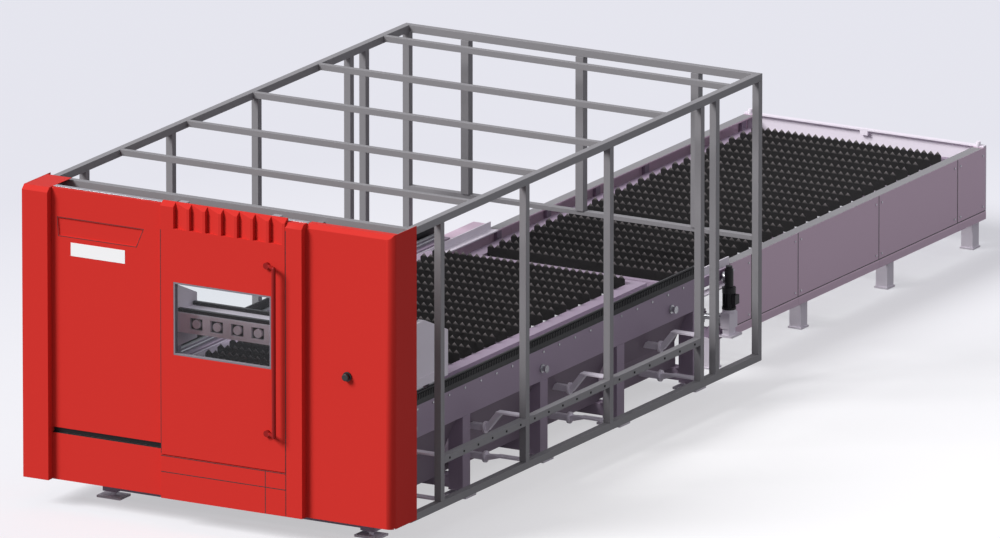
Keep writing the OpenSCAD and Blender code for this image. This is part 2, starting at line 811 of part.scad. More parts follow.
module drive_motor() {
    body_h = 150;
    color(dark) placed()
        translate([gear_x + gear_w / 2, shaft_y, shaft_z + gear_d / 2 + 20 + seat]) union() {
            cylinder(h = 14, r = 48);
            cylinder(h = body_h, r = 38);
            for (i = [0:15]) rotate([0, 0, i * 22.5]) translate([34, -2, 13]) cube([11, 4, body_h - 50]);
            translate([0, 0, body_h - 38]) cylinder(h = 40, r = 47);
            translate([0, 0, body_h]) cylinder(h = 130, r = 30);
            translate([0, 0, body_h + 128]) cylinder(h = 22, r = 22);
            translate([28, -28, 40]) cube([36, 56, 64]);
        }
}

module shaft_bearings() {
    x0 = table_in - side_beam_w + 10;
    z0 = panel_z + 10 + side_beam_h + seat;
    color(steel) placed() both_sides() difference() {
        union() {
            block([x0, shaft_y - 60, z0], [x0 + 40, shaft_y + 60, z0 + 16]);
            translate([x0, shaft_y, shaft_z]) rotate([0, 90, 0]) cylinder(h = 40, r = 36);
            block([x0, shaft_y - 32, z0], [x0 + 40, shaft_y + 32, shaft_z]);
        }
        translate([x0 - e, shaft_y, shaft_z]) rotate([0, 90, 0]) cylinder(h = 42, r = shaft_r + shaft_fit);
    }
}

module drive_shaft() {
    x0 = -(table_in - side_beam_w + 10) - 45;
    color(steel) placed() translate([x0, shaft_y, shaft_z]) rotate([0, 90, 0]) union() {
        cylinder(h = gear_x + 55 - x0, r = shaft_r);
        translate([0, 0, -sprocket_x - sprocket_w - x0]) sprocket();
        translate([0, 0, sprocket_x - x0]) sprocket();
    }
}
// Chain wheel on the drive shaft
module sprocket() {
    n = 14;
    linear_extrude(sprocket_w)
        polygon([for (i = [0:n - 1]) for (p = [[58, 0], [58, 0.3], [48, 0.5], [48, 0.8]])
                     p[0] * [cos(360 * (i + p[1]) / n), sin(360 * (i + p[1]) / n)]]);
}

module door_panel() {
    x0 = x_door;
    rise = door_top - cover_top + 3;
    z_vent = door_top - vent_h;
    color(red) placed() difference() {
        along_x(x0, door_x1)
            polygon([[y_proud, door_bottom], [door_y1, door_bottom], [door_y1, door_top],
                     [door_y1 - 12, door_top], [y_proud, door_top - rise]]);
        block([x0 + sheet, y_proud + sheet, door_bottom + sheet],
              [door_x1 - sheet, door_y1 + e, z_vent - 10]);
        block([win_x0, y_proud - e, window_z], [win_x1, door_y1 + e, win_z1]);
        for (i = [0:vent_count - 1])
            translate([x0 + vent_first + i * vent_pitch, y_proud, z_vent]) linear_extrude(vent_h + e)
                polygon([[0, -e], [0, vent_depth], [vent_share * vent_pitch, 0],
                         [vent_share * vent_pitch, -e]]);
    }
}

// Frame of the window: a reveal in the door's opening with a flange behind the door's sheet
module window_frame() {
    y0 = y_proud + sheet + seat;
    y1 = door_y1 - 3;
    rim = 12;
    color([0.45, 0.43, 0.46]) placed() difference() {
        union() {
            block([win_x0 + seat, y_proud + seat, window_z + seat], [win_x1 - seat, y1, win_z1 - seat]);
            block([win_x0 - rim, y0, window_z - rim], [win_x1 + rim, y0 + 4, win_z1 + rim]);
        }
        block([win_x0 + rim, y_proud - e, window_z + rim], [win_x1 - rim, y0 + 12, win_z1 - rim]);
        block([win_x0 + rim - 6, y0 + 12, window_z + rim - 6], [win_x1 - rim + 6, y1 + e, win_z1 - rim + 6]);
    }
}

module window_pane() {
    y0 = y_proud + sheet + seat + 12 + seat;
    g = 6 + seat;
    color([0.7, 0.8, 0.85, 0.3]) placed()
        block([win_x0 + g, y0, window_z + g], [win_x1 - g, y0 + pane_t, win_z1 - g]);
}

module door_handle() {
    legs = sqrt(handle_side * handle_side + handle_out * handle_out);
    turn = atan2(handle_out, handle_side);
    z1 = handle_z + handle_len;
    y0 = y_proud - handle_out;
    color(red) placed() union() {
        translate([handle_cx, y0, handle_z]) cylinder(h = handle_len, r = handle_r);
        for (z = [handle_z, z1]) {
            translate([handle_cx, y0, z]) sphere(handle_r);
            translate([handle_cx, y0, z]) rotate([0, 0, 180 - turn]) rotate([0, 90, 0])
                cylinder(h = legs - handle_r - 6, r = handle_r - 2);
            translate([handle_cx - handle_side, y_proud - seat, z]) rotate([90, 0, 0])
                cylinder(h = 22, r = 22);
        }
    }
}

module door_hangers() {
    z0 = hang_rail_top + run;
    y1 = hang_rail_y + hang_rail_w + run;
    color(steel) placed()
        for (x = [x_door + 90, x_pillar - 150])
            along_x(x, x + 60)
                polygon([[door_y1 + seat, z0], [y1, z0], [y1, z0 - 22], [y1 + 8, z0 - 22], [y1 + 8, z0 + 14],
                         [door_y1 + seat, z0 + 14]]);
}

module gantry_beam() {
    rib = (2 * end_in - pocket_count * pocket_pitch) / 2;
    pocket_w = 96;
    pocket_h = 80;
    pocket_d = 60;
    boss_r = 30;
    color(pale) placed() difference() {
        block([-end_in + seat, gbeam_y, gbeam_z], [end_in - seat, gbeam_back, gbeam_top]);
        for (i = [0:pocket_count - 1])
            translate([-end_in + rib + (i + 0.5) * pocket_pitch, gbeam_y - e, gbeam_z + gbeam_h / 2])
                difference() {
                    translate([-pocket_w / 2, 0, -pocket_h / 2]) cube([pocket_w, pocket_d + e, pocket_h]);
                    rotate([-90, 0, 0]) cylinder(h = pocket_d + 2 * e, r = boss_r);
                }
    }
}

// End boxes of the gantry, whose tops fall towards the back
module gantry_ends() {
    rim = 60;
    flat = 140;
    y1 = gantry_y + end_len;
    color(pale) placed() both_sides() difference() {
        along_x(end_in, end_out)
            polygon([[gantry_y, end_z], [y1, end_z], [y1, end_z + end_back_h],
                     [gantry_y + flat, end_z + end_h], [gantry_y, end_z + end_h]]);
        block([end_out - 6, gantry_y + rim, end_z + rim], [end_out + e, y1 - rim, end_z + end_back_h - rim]);
    }
}

module gantry_bearings() {
    bearing_len = 120;
    z0 = beam_top + seat + 6;
    color(steel) placed() both_sides()
        for (y = [gantry_y + 60, gantry_y + end_len - 60 - bearing_len])
            difference() {
                block([rail_x - 36, y, z0], [rail_x + 36, y + bearing_len, end_z - seat]);
                block([rail_x - rail_w / 2 - run, y - e, z0 - e],
                      [rail_x + rail_w / 2 + run, y + bearing_len + e, beam_top + seat + rail_h + run]);
            }
}

module gantry_motors() {
    f = motor_flange;
    m = motor_side;
    x = (end_in + end_out) / 2;
    color(dark) placed() both_sides() translate([x, motor_y, end_z + end_h + seat]) union() {
        translate([-f / 2, -f / 2, 0]) cube([f, f, 16]);
        translate([-m / 2, -m / 2, 15]) cube([m, m, 120]);
        translate([0, 0, 134]) cylinder(h = 30, r = 38);
    }
}

module cross_rails() {
    x1 = end_in - 6;
    z0 = gbeam_top + seat;
    color(dark) placed()
        for (y = [gbeam_y + 12, gbeam_back - 12 - cross_rail_w])
            block([-x1, y, z0], [x1, y + cross_rail_w, z0 + cross_rail_h]);
}

module carriage() {
    x0 = carriage_x - carriage_w / 2;
    x1 = carriage_x + carriage_w / 2;
    z0 = gbeam_top + seat + cross_rail_h + run;
    y0 = gbeam_y;
    y1 = apron_back;
    color(dark) placed()
        along_x(x0, x1)
            polygon([[y0, z0], [gbeam_back + apron_gap, z0], [gbeam_back + apron_gap, gbeam_z + 10],
                     [y1, gbeam_z + 10], [y1, z0 + saddle_h], [y0 + 40, z0 + saddle_h],
                     [y0, z0 + saddle_h - 30]]);
}

module head_slide() {
    y0 = apron_back + run;
    z0 = nozzle_tip + 40;
    color(steel) placed()
        block([carriage_x - 60, y0, z0], [carriage_x + 60, y0 + head_plate_t, z0 + 330]);
}

module cutting_head() {
    y0 = apron_back + run + head_plate_t + seat;
    z0 = nozzle_tip + 40;
    color(tube_grey) placed() translate([carriage_x, y0, 0]) union() {
        translate([-40, 0, z0 + 60]) cube([80, 80, 250]);
        translate([0, 40, z0 + 20]) cylinder(h = 41, r = 34);
        translate([0, 40, z0 + 309]) cylinder(h = 60, r = 24);
    }
}

module nozzle() {
    y0 = apron_back + run + head_plate_t + seat + 40;
    color([0.75, 0.5, 0.25]) placed() translate([carriage_x, y0, nozzle_tip]) rotate_extrude()
        polygon([[2, 0], [4, 0], [14, 26], [26, 26], [26, 60 - seat], [2, 60 - seat]]);
}

// Frame of a pallet whose wheels stand on the given track height
module pallet_frame(y0, z) {
    z1 = z + pallet_beam_top;
    z0 = z1 - pallet_beam_h;
    xi = slat_half;
    y1 = y0 + pallet_len;
    both_sides() difference() {
        block([xi, y0, z0], [pallet_half, y1, z1]);
        for (y = wheel_places(y0))
            translate([xi - e, y, z + wheel_r + seat]) rotate([0, 90, 0])
                cylinder(h = pallet_beam + 2 * e, r = axle_r + shaft_fit);
    }
    for (y = [y0, y1 - pallet_end])
        block([-xi + seat, y, z0], [xi - seat, y + pallet_end, z1]);
}
function wheel_places(y0) = [y0 + wheel_inset, y0 + pallet_len - wheel_inset];

// One saw-toothed support slat, standing on its edge across the pallet
module slat(z_tip) {
    step = slat_len / slat_teeth;
    rotate([90, 0, 0]) linear_extrude(slat_t)
        polygon(concat([[slat_len / 2, z_tip - slat_h], [-slat_len / 2, z_tip - slat_h]],
                       [for (i = [0:slat_teeth - 1]) for (p = [[0, tooth_h], [0.5, 0]])
                            [-slat_len / 2 + (i + p[0]) * step, z_tip - p[1]]],
                       [[slat_len / 2, z_tip - tooth_h]]));
}
module slats(y0, z) {
    for (i = [0:slat_count - 1])
        translate([0, y0 + pallet_end + (i + 0.5) * slat_pitch + slat_t / 2, 0]) slat(z + slat_rise);
}

// An axle of a pallet with a wheel at both ends
module wheelset(y, z) {
    translate([0, y, z + wheel_r + seat]) rotate([0, 90, 0]) union() {
        translate([0, 0, -wheel_in - wheel_w]) cylinder(h = 2 * (wheel_in + wheel_w), r = axle_r);
        for (x = [-wheel_in - wheel_w, wheel_in]) translate([0, 0, x]) cylinder(h = wheel_w, r = wheel_r);
    }
}

module upper_pallet_frame() { color(bed_grey) placed() pallet_frame(upper_y, upper_track_z); }
module upper_slats() { color(dark) placed() slats(upper_y, upper_track_z); }
module lower_pallet_frame() { color(bed_grey) placed() pallet_frame(lower_y, lower_track_z); }
module lower_slats() { color(dark) placed() slats(lower_y, lower_track_z); }
module upper_front_wheels() { color(steel) placed() wheelset(wheel_places(upper_y)[0], upper_track_z); }
module upper_rear_wheels() { color(steel) placed() wheelset(wheel_places(upper_y)[1], upper_track_z); }
module lower_front_wheels() { color(steel) placed() wheelset(wheel_places(lower_y)[0], lower_track_z); }
module lower_rear_wheels() { color(steel) placed() wheelset(wheel_places(lower_y)[1], lower_track_z); }

side_frame_left();
side_frame_right();
roof_bars();
rear_frame();
front_frame();
corner_column();
left_panel();
left_kick_panel();
door_pillar();
sill_panels();
right_panel();
door_hang_rail();
door_guide();
stop_button_collar();
bed_side_beams();
bed_columns();
cross_beams();
hopper_plates();
slag_tray();
bed_feet();
frame_brackets();
damper_cylinders();
lifting_eyes();
guide_rails();
rail_guards();
upper_tracks();
lower_tracks();
link_box();
table_side_panels();
table_end_panel();
table_beams();
table_legs();
table_uprights();
drive_gearbox();
drive_motor();
shaft_bearings();
door_panel();
window_frame();
window_pane();
door_handle();
door_hangers();
gantry_beam();
gantry_ends();
gantry_bearings();
gantry_motors();
cross_rails();
carriage();
head_slide();
cutting_head();
nozzle();
stop_button();
drive_shaft();
upper_pallet_frame();
upper_slats();
lower_pallet_frame();
lower_slats();
upper_front_wheels();
upper_rear_wheels();
lower_front_wheels();
lower_rear_wheels();
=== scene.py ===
import json
import math

import bpy
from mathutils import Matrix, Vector


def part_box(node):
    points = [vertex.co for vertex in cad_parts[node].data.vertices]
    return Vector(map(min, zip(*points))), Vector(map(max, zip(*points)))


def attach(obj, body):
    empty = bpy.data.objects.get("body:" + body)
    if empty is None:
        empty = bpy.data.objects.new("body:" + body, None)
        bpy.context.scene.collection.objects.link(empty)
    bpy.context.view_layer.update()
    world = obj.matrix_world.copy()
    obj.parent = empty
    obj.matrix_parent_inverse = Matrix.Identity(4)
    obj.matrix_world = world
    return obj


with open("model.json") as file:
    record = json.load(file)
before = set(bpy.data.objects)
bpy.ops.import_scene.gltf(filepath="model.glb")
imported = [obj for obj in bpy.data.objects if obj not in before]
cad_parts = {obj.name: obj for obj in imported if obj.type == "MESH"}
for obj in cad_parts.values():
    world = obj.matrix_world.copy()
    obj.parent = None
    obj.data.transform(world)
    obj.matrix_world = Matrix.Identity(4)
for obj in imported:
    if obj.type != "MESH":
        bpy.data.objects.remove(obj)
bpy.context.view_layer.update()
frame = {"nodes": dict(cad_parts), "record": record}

scene = bpy.context.scene
scene.view_settings.view_transform = "Standard"
SIDES = ((-1, "left"), (1, "right"))


# Helpers for colours and shader nodes

def linear(rgb):
    """Linear colour of an 8-bit sRGB colour."""
    out = []
    for level in rgb:
        level /= 255
        out.append(level / 12.92 if level <= 0.04045 else ((level + 0.055) / 1.055) ** 2.4)
    return (*out, 1.0)


def set_inputs(tree, node, inputs):
    """Sets a node's inputs to values, or links them to the output sockets of other nodes."""
    for key, value in inputs.items():
        if isinstance(value, bpy.types.NodeSocket):
            tree.links.new(value, node.inputs[key])
        else:
            node.inputs[key].default_value = value


def add_node(tree, kind, inputs, operation=None):
    """A new shader node with its inputs set."""
    node = tree.nodes.new("ShaderNode" + kind)
    if operation:
        node.operation = operation
    set_inputs(tree, node, inputs)
    return node


def new_material(name):
    """An empty material and its node tree."""
    finish = bpy.data.materials.new(name)
    finish.use_nodes = True
    return finish, finish.node_tree


def show(tree, shader):
    """Makes a shader the surface of a material."""
    tree.nodes.remove(tree.nodes["Principled BSDF"])
    tree.links.new(shader.outputs["Shader"], tree.nodes["Material Output"].inputs["Surface"])


def seen_directly(tree):
    """Socket that is 1 for camera, glossy and transmission rays and 0 for the rays that carry light."""
    rays = add_node(tree, "LightPath", {})
    most = rays.outputs["Is Camera Ray"]
    for kind in ("Is Glossy Ray", "Is Transmission Ray"):
        most = add_node(tree, "Math", {0: most, 1: rays.outputs[kind]}, "MAXIMUM").outputs["Value"]
    return most


# Materials

LEAST_ROUGH = 0.02
NOISE_DETAIL = 3.0
RELIEF_DEPTH = 0.001


def material(name, rgb, rough, spread, grain, metallic=0.0, bump=0.0, stretch=(1, 1, 1), shine=0.5):
    """Paint or metal whose shade and roughness vary a little over the surface."""
    finish, tree = new_material(name)
    shader = tree.nodes["Principled BSDF"]
    coords = add_node(tree, "TexCoord", {})
    mapping = add_node(tree, "Mapping", {"Vector": coords.outputs["Object"], "Scale": stretch})
    noise = add_node(tree, "TexNoise", {
        "Vector": mapping.outputs["Vector"],
        "Scale": grain,
        "Detail": NOISE_DETAIL,
    }).outputs["Fac"]
    roughness = add_node(tree, "MapRange", {
        "Value": noise,
        "To Min": max(rough - spread, LEAST_ROUGH),
        "To Max": rough + spread,
    })
    base = linear(rgb)[:3]
    shade = add_node(tree, "MixRGB", {
        "Fac": noise,
        "Color1": [level * (1 - spread) for level in base] + [1],
        "Color2": [min(level * (1 + spread), 1) for level in base] + [1],
    })
    set_inputs(tree, shader, {
        "Metallic": metallic,
        "Specular IOR Level": shine,
        "Roughness": roughness.outputs["Result"],
        "Base Color": shade.outputs["Color"],
    })
    if bump:
        relief = add_node(tree, "Bump", {"Strength": bump, "Distance": RELIEF_DEPTH, "Height": noise})
        tree.links.new(relief.outputs["Normal"], shader.inputs["Normal"])
    return finish


def clear_glass(name, tint, gloss=0.02, rough=0.03):
    """A pane that is seen through, with a weak reflection."""
    finish, tree = new_material(name)
    through = add_node(tree, "BsdfTransparent", {"Color": tint})
    shine = add_node(tree, "BsdfGlossy", {"Roughness": rough})
    pane = add_node(tree, "MixShader", {"Fac": gloss, 1: through.outputs["BSDF"], 2: shine.outputs["BSDF"]})
    show(tree, pane)
    return finish


def shaded_slat_metal(name, low, highlight_rgb, highlight_from=0.76):
    """Dark slat steel with painted shade low on the slats and a painted highlight that brightens it towards
    the tips of the teeth.
    """
    finish = material(name, low, 0.6, spread=0.3, grain=40, metallic=0.3, bump=0.3)
    tree = finish.node_tree
    base_colour = tree.nodes["Principled BSDF"].inputs["Base Color"]
    dark = base_colour.links[0].from_socket
    # Mix by height: painted shade low on the slats, painted highlight on the tips of the teeth
    coords = add_node(tree, "TexCoord", {})
    height = add_node(tree, "SeparateXYZ", {"Vector": coords.outputs["Generated"]})
    highlight_share = add_node(tree, "MapRange", {"Value": height.outputs["Z"], "From Min": highlight_from, "From Max": 1.0})
    mix = add_node(tree, "MixRGB", {"Fac": highlight_share.outputs["Result"], "Color1": dark, "Color2": linear(highlight_rgb)})
    tree.links.new(mix.outputs["Color"], base_colour)
    return finish


# One finish for each material slot of the record
finishes = {
    "red_paint": material(
        "red paint", (204, 50, 44), 0.5, spread=0.03, grain=220, bump=0.02, shine=0.04
    ),
    "frame_grey": material(
        "frame grey paint", (134, 132, 135), 0.5, spread=0.04, grain=150, bump=0.03, shine=0.25
    ),
    "bed_paint": material(
        "bed grey paint", (160, 143, 163), 0.5, spread=0.05, grain=120, bump=0.04, shine=0.3
    ),
    "hopper_paint": material(
        "hopper dark paint", (132, 118, 132), 0.6, spread=0.08, grain=90, bump=0.05, shine=0.3
    ),
    "lilac_paint": material(
        "lilac grey paint", (212, 184, 204), 0.45, spread=0.03, grain=150, bump=0.02, shine=0.3
    ),
    "pale_paint": material(
        "pale paint", (236, 228, 239), 0.45, spread=0.03, grain=150, bump=0.02, shine=0.3
    ),
    "bare_steel": material(
        "bare steel", (168, 168, 172), 0.35, spread=0.08, grain=90, metallic=0.9, stretch=(1, 8, 8)
    ),
    "slat_steel": shaded_slat_metal("slat steel with painted shade and highlight", (18, 16, 17), (132, 126, 126)),
    "black_metal": material("black paint", (22, 22, 24), 0.45, spread=0.08, grain=120, shine=0.25),
    "black_plastic": material("black plastic", (24, 24, 25), 0.5, spread=0.05, grain=200),
    "window_grey": material("window frame paint", (120, 114, 122), 0.5, spread=0.04, grain=120),
    "glass": clear_glass("window glass", (0.93, 0.95, 0.95, 1)),
    "copper": material("copper", (196, 130, 92), 0.3, spread=0.1, grain=150, metallic=1.0),
}

# Looks of single pieces, outside the slots
# Door handle: the cover's red paint made darker, as painted shade on the handle
handle_shaded_red = material("handle red paint with painted shade", (140, 22, 20), 0.45, spread=0.03, grain=220, shine=0.2)
white_plate = material("white plate", (240, 240, 240), 0.4, spread=0.02, grain=200)


# Finish of each CAD node, with small rounded edges except on the finest ones

WELD_DISTANCE = 0.00002
EDGE_WIDTH = 0.0015
EDGE_SEGMENTS = 2
EDGE_ANGLE = math.radians(40)
KEPT_SHARP = {"upper_slats", "lower_slats", "window_pane", "drive_motor", "drive_shaft"}


def soften_edges(obj):
    """Joins the corners of a CAD mesh and rounds its edges a little."""
    weld = obj.modifiers.new("weld", "WELD")
    weld.merge_threshold = WELD_DISTANCE
    edge = obj.modifiers.new("edges", "BEVEL")
    edge.width = EDGE_WIDTH
    edge.segments = EDGE_SEGMENTS
    edge.limit_method = "ANGLE"
    edge.angle_limit = EDGE_ANGLE
    edge.harden_normals = True


slot_of = {row["node"]: row["material_slot"] for row in frame["record"]["subparts"]}
for node_name, node_object in frame["nodes"].items():
    node_object.data.materials.clear()
    node_finish = handle_shaded_red if node_name == "door_handle" else finishes[slot_of[node_name]]
    node_object.data.materials.append(node_finish)
    if node_name not in KEPT_SHARP:
        soften_edges(node_object)


# Helpers for the scene's own pieces, all in metres in the row frame

BOX_FACES = ((3, 2, 1, 0), (4, 5, 6, 7), (0, 1, 5, 4), (1, 2, 6, 5), (2, 3, 7, 6), (3, 0, 4, 7))


def mesh_piece(name, verts, faces, finish, body):
    """A piece that moves with a body. Its finish is a slot of the record, or the white of the plate."""
    mesh = bpy.data.meshes.new(name)
    mesh.from_pydata(verts, [], faces)
    obj = bpy.data.objects.new(name, mesh)
    scene.collection.objects.link(obj)
    mesh.materials.append(finishes.get(finish, white_plate))
    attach(obj, body)


def box_piece(name, boxes, finish, body):
    """One mesh of many boxes, each given by its ends in x, in y and in z."""
    verts = []
    faces = []
    for (left, right), (front, back), (low, high) in boxes:
        first = len(verts)
        for z in (low, high):
            verts += [(left, front, z), (right, front, z), (right, back, z), (left, back, z)]
        faces += [[first + corner for corner in face] for face in BOX_FACES]
    mesh_piece(name, verts, faces, finish, body)


def ring_piece(name, rings, front, back, finish, body):
    """Flat upright rings, each of inner and outer points in x and z, clockwise as seen from the front."""
    verts = []
    faces = []
    for inner, outer in rings:
        first = len(verts)
        count = len(inner)
        verts += [(x, y, z) for y in (front, back) for edge in (inner, outer) for x, z in edge]
        inner_front, outer_front, inner_back, outer_back = (first + count * i for i in range(4))
        for a in range(count):
            b = (a + 1) % count
            faces += [
                (inner_front + a, inner_front + b, outer_front + b, outer_front + a),
                (inner_back + a, outer_back + a, outer_back + b, inner_back + b),
                (outer_front + a, outer_front + b, outer_back + b, outer_back + a),
                (inner_front + b, inner_front + a, inner_back + a, inner_back + b),
            ]
    mesh_piece(name, verts, faces, finish, body)


BOLT_SIDES = 12
BOLT_ROUNDING = 0.8


def bolt_piece(name, side, places, size, finish, body):
    """Round bolt heads that stand out to the left (side -1) or right (1), each on the middle of its foot."""
    radius, height = size
    out = Vector((side, 0, 0))
    across = out.orthogonal().normalized()
    along = out.cross(across)
    rims = ((0, radius), (height * BOLT_ROUNDING, radius), (height, radius * BOLT_ROUNDING))
    turns = [2 * math.pi * i / BOLT_SIDES for i in range(BOLT_SIDES)]
    verts = []
    faces = []
    for place in places:
        foot = len(verts)
        for lift, reach in rims:
            for turn in turns:
                spoke = across * math.cos(turn) + along * math.sin(turn)
                verts.append(Vector(place) + out * lift + spoke * reach)
        for rim in (foot, foot + BOLT_SIDES):
            for a in range(BOLT_SIDES):
                b = (a + 1) % BOLT_SIDES
                faces.append([rim + a, rim + b, rim + BOLT_SIDES + b, rim + BOLT_SIDES + a])
        faces.append([foot + 2 * BOLT_SIDES + a for a in range(BOLT_SIDES)])
        faces.append([foot + a for a in reversed(range(BOLT_SIDES))])
    mesh_piece(name, verts, faces, finish, body)


# Places of the CAD nodes that the pieces sit on
panel_lo, panel_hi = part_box("left_panel")
column_lo, column_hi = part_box("corner_column")
frame_lo, frame_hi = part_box("side_frame_right")
beams_lo, beams_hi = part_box("bed_side_beams")
gantry_lo, gantry_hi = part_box("gantry_beam")
sill_lo, sill_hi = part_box("sill_panels")
pillar_lo, pillar_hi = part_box("door_pillar")
door_lo, door_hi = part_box("door_panel")
table_lo, table_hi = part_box("table_side_panels")


# Blank plate on the left panel
PLATE_WIDTH = 0.414
PLATE_HEIGHT = 0.091
PLATE_THICK = 0.0014
plate_left = panel_lo.x + 0.1467
plate_low = panel_hi.z - 0.45
box_piece("name_plate", [(
    (plate_left, plate_left + PLATE_WIDTH),
    (panel_lo.y - PLATE_THICK, panel_lo.y),
    (plate_low, plate_low + PLATE_HEIGHT),
)], "white", "machine")


# Sheet that closes the top of the left column, between its skin, the left panel and the tube frame
TUBE = 0.05
COLUMN_SKIN = 0.0032
CAP_GAP = 0.0005
CAP_THICK = 0.003
cap_top = column_hi.z - 0.001
box_piece("column_cap", [(
    (column_lo.x + COLUMN_SKIN, column_hi.x - CAP_GAP),
    (panel_hi.y + CAP_GAP, column_hi.y - TUBE - CAP_GAP),
    (cap_top - CAP_THICK, cap_top),
)], "red_paint", "machine")


# Teeth of the racks along the guards on the bed beams
TOOTH_PITCH = 0.022
TOOTH_WIDTH = 0.011
TOOTH_DEPTH = 0.008
TOOTH_HEIGHT = 0.037
RACK_LIFT = 0.04
RACK_INSET = 0.02


def rack_teeth():
    first = beams_lo.y + RACK_INSET
    count = math.ceil((beams_hi.y - RACK_INSET - first) / TOOTH_PITCH)
    low = beams_hi.z + RACK_LIFT
    teeth = []
    for side, _ in SIDES:
        ends = sorted((side * beams_hi.x, side * (beams_hi.x + TOOTH_DEPTH)))
        for i in range(count):
            front = first + TOOTH_PITCH * i
            teeth.append((ends, (front, front + TOOTH_WIDTH), (low, low + TOOTH_HEIGHT)))
    box_piece("rack_teeth", teeth, "black_metal", "machine")


rack_teeth()


# Black sheets in the pockets of the gantry beam, each with a round hole for its boss: painted shade for the
# shaded pockets
POCKETS = 10
POCKET_PITCH = 0.157
POCKET_DEPTH = 0.02
SHADE_SHEET_THICK = 0.002
SHADE_SHEET_HALF_WIDTH = 0.047
SHADE_SHEET_HALF_HEIGHT = 0.039
BOSS_RADIUS = 0.0305
HOLE_SIDES = 16
LEAST_SHARE = 1e-6


def pocket_shade_sheets():
    corner = math.atan2(SHADE_SHEET_HALF_HEIGHT, SHADE_SHEET_HALF_WIDTH)
    turns = [2 * math.pi * i / HOLE_SIDES for i in range(HOLE_SIDES)]
    turns += [corner, math.pi - corner, math.pi + corner, 2 * math.pi - corner]
    turns.sort(reverse=True)
    middle_z = (gantry_lo.z + gantry_hi.z) / 2
    rings = []
    for i in range(POCKETS):
        middle_x = POCKET_PITCH * (i - (POCKETS - 1) / 2)
        inner = []
        outer = []
        for turn in turns:
            to_side = SHADE_SHEET_HALF_WIDTH / max(abs(math.cos(turn)), LEAST_SHARE)
            to_top = SHADE_SHEET_HALF_HEIGHT / max(abs(math.sin(turn)), LEAST_SHARE)
            for points, reach in ((inner, BOSS_RADIUS), (outer, min(to_side, to_top))):
                points.append((middle_x + reach * math.cos(turn), middle_z + reach * math.sin(turn)))
        rings.append((inner, outer))
    front = gantry_lo.y + POCKET_DEPTH
    ring_piece("pocket_shade_sheets", rings, front, front + SHADE_SHEET_THICK, "black_metal", "gantry")


pocket_shade_sheets()


# Sizes of the bolt heads: radius and height
SMALL_BOLT = (0.008, 0.005)
LARGE_BOLT = (0.009, 0.006)

# Bolts along the low rails of the frame, evenly between the side posts
SIDE_POSTS = (0.37, 1.497, 2.624, 3.855)  # from the front of the enclosure
RAIL_BOLT_PITCH = 0.19
RAIL_HEIGHT = 0.325  # above the foot of the frame
rail_bolts = []
for here, following in zip(SIDE_POSTS, SIDE_POSTS[1:]):
    bay = following - here
    bay_bolts = round(bay / RAIL_BOLT_PITCH)
    rail_bolts += [column_hi.y + here + bay * (i + 0.5) / bay_bolts for i in range(bay_bolts)]

# Bolts along the bed beams
BEAM_BOLTS = 20
BEAM_BOLT_PITCH = 0.21
beam_bolts = [beams_lo.y + 0.14 + BEAM_BOLT_PITCH * i for i in range(BEAM_BOLTS)]
beam_bolt_height = beams_hi.z - 0.025

# Bolts beside the seams and near the ends of the table's side panels
table_face = table_hi.x - 0.006
table_seams = [table_lo.y + away for away in (0.292, 0.938, 2.069, 3.182)]
table_rear = table_lo.y + 3.54
SEAM_TO_BOLT = 0.04
table_bolts = [table_lo.y + SEAM_TO_BOLT]
for seam in table_seams:
    table_bolts += [seam - SEAM_TO_BOLT, seam + SEAM_TO_BOLT]
table_bolts.append(table_rear)
table_bolt_heights = (table_lo.z + 0.095, table_hi.z - 0.053)

for side, side_name in SIDES:
    rail_places = [(side * frame_hi.x, y, frame_lo.z + RAIL_HEIGHT) for y in rail_bolts]
    beam_places = [(side * beams_hi.x, y, beam_bolt_height) for y in beam_bolts]
    table_places = [(side * table_face, y, z) for y in table_bolts for z in table_bolt_heights]
    bolt_piece(f"rail_bolts_{side_name}", side, rail_places, SMALL_BOLT, "black_metal", "machine")
    bolt_piece(f"beam_bolts_{side_name}", side, beam_places, LARGE_BOLT, "bare_steel", "machine")
    bolt_piece(f"table_bolts_{side_name}", side, table_places, SMALL_BOLT, "bare_steel", "machine")


# Grey strips on the ledges that the upper pallet's wheels run on: painted shade that darkens the top faces
# of the ledges
STRIP_WIDTH = 0.078
STRIP_THICK = 0.0002
TABLE_INSET = 0.002
strip_edge = table_face - 0.001
box_piece("ledge_shade_strips", [(
    sorted((side * strip_edge, side * (strip_edge - STRIP_WIDTH))),
    (table_lo.y + TABLE_INSET, table_rear),
    (table_hi.z, table_hi.z + STRIP_THICK),
) for side, _ in SIDES], "frame_grey", "machine")


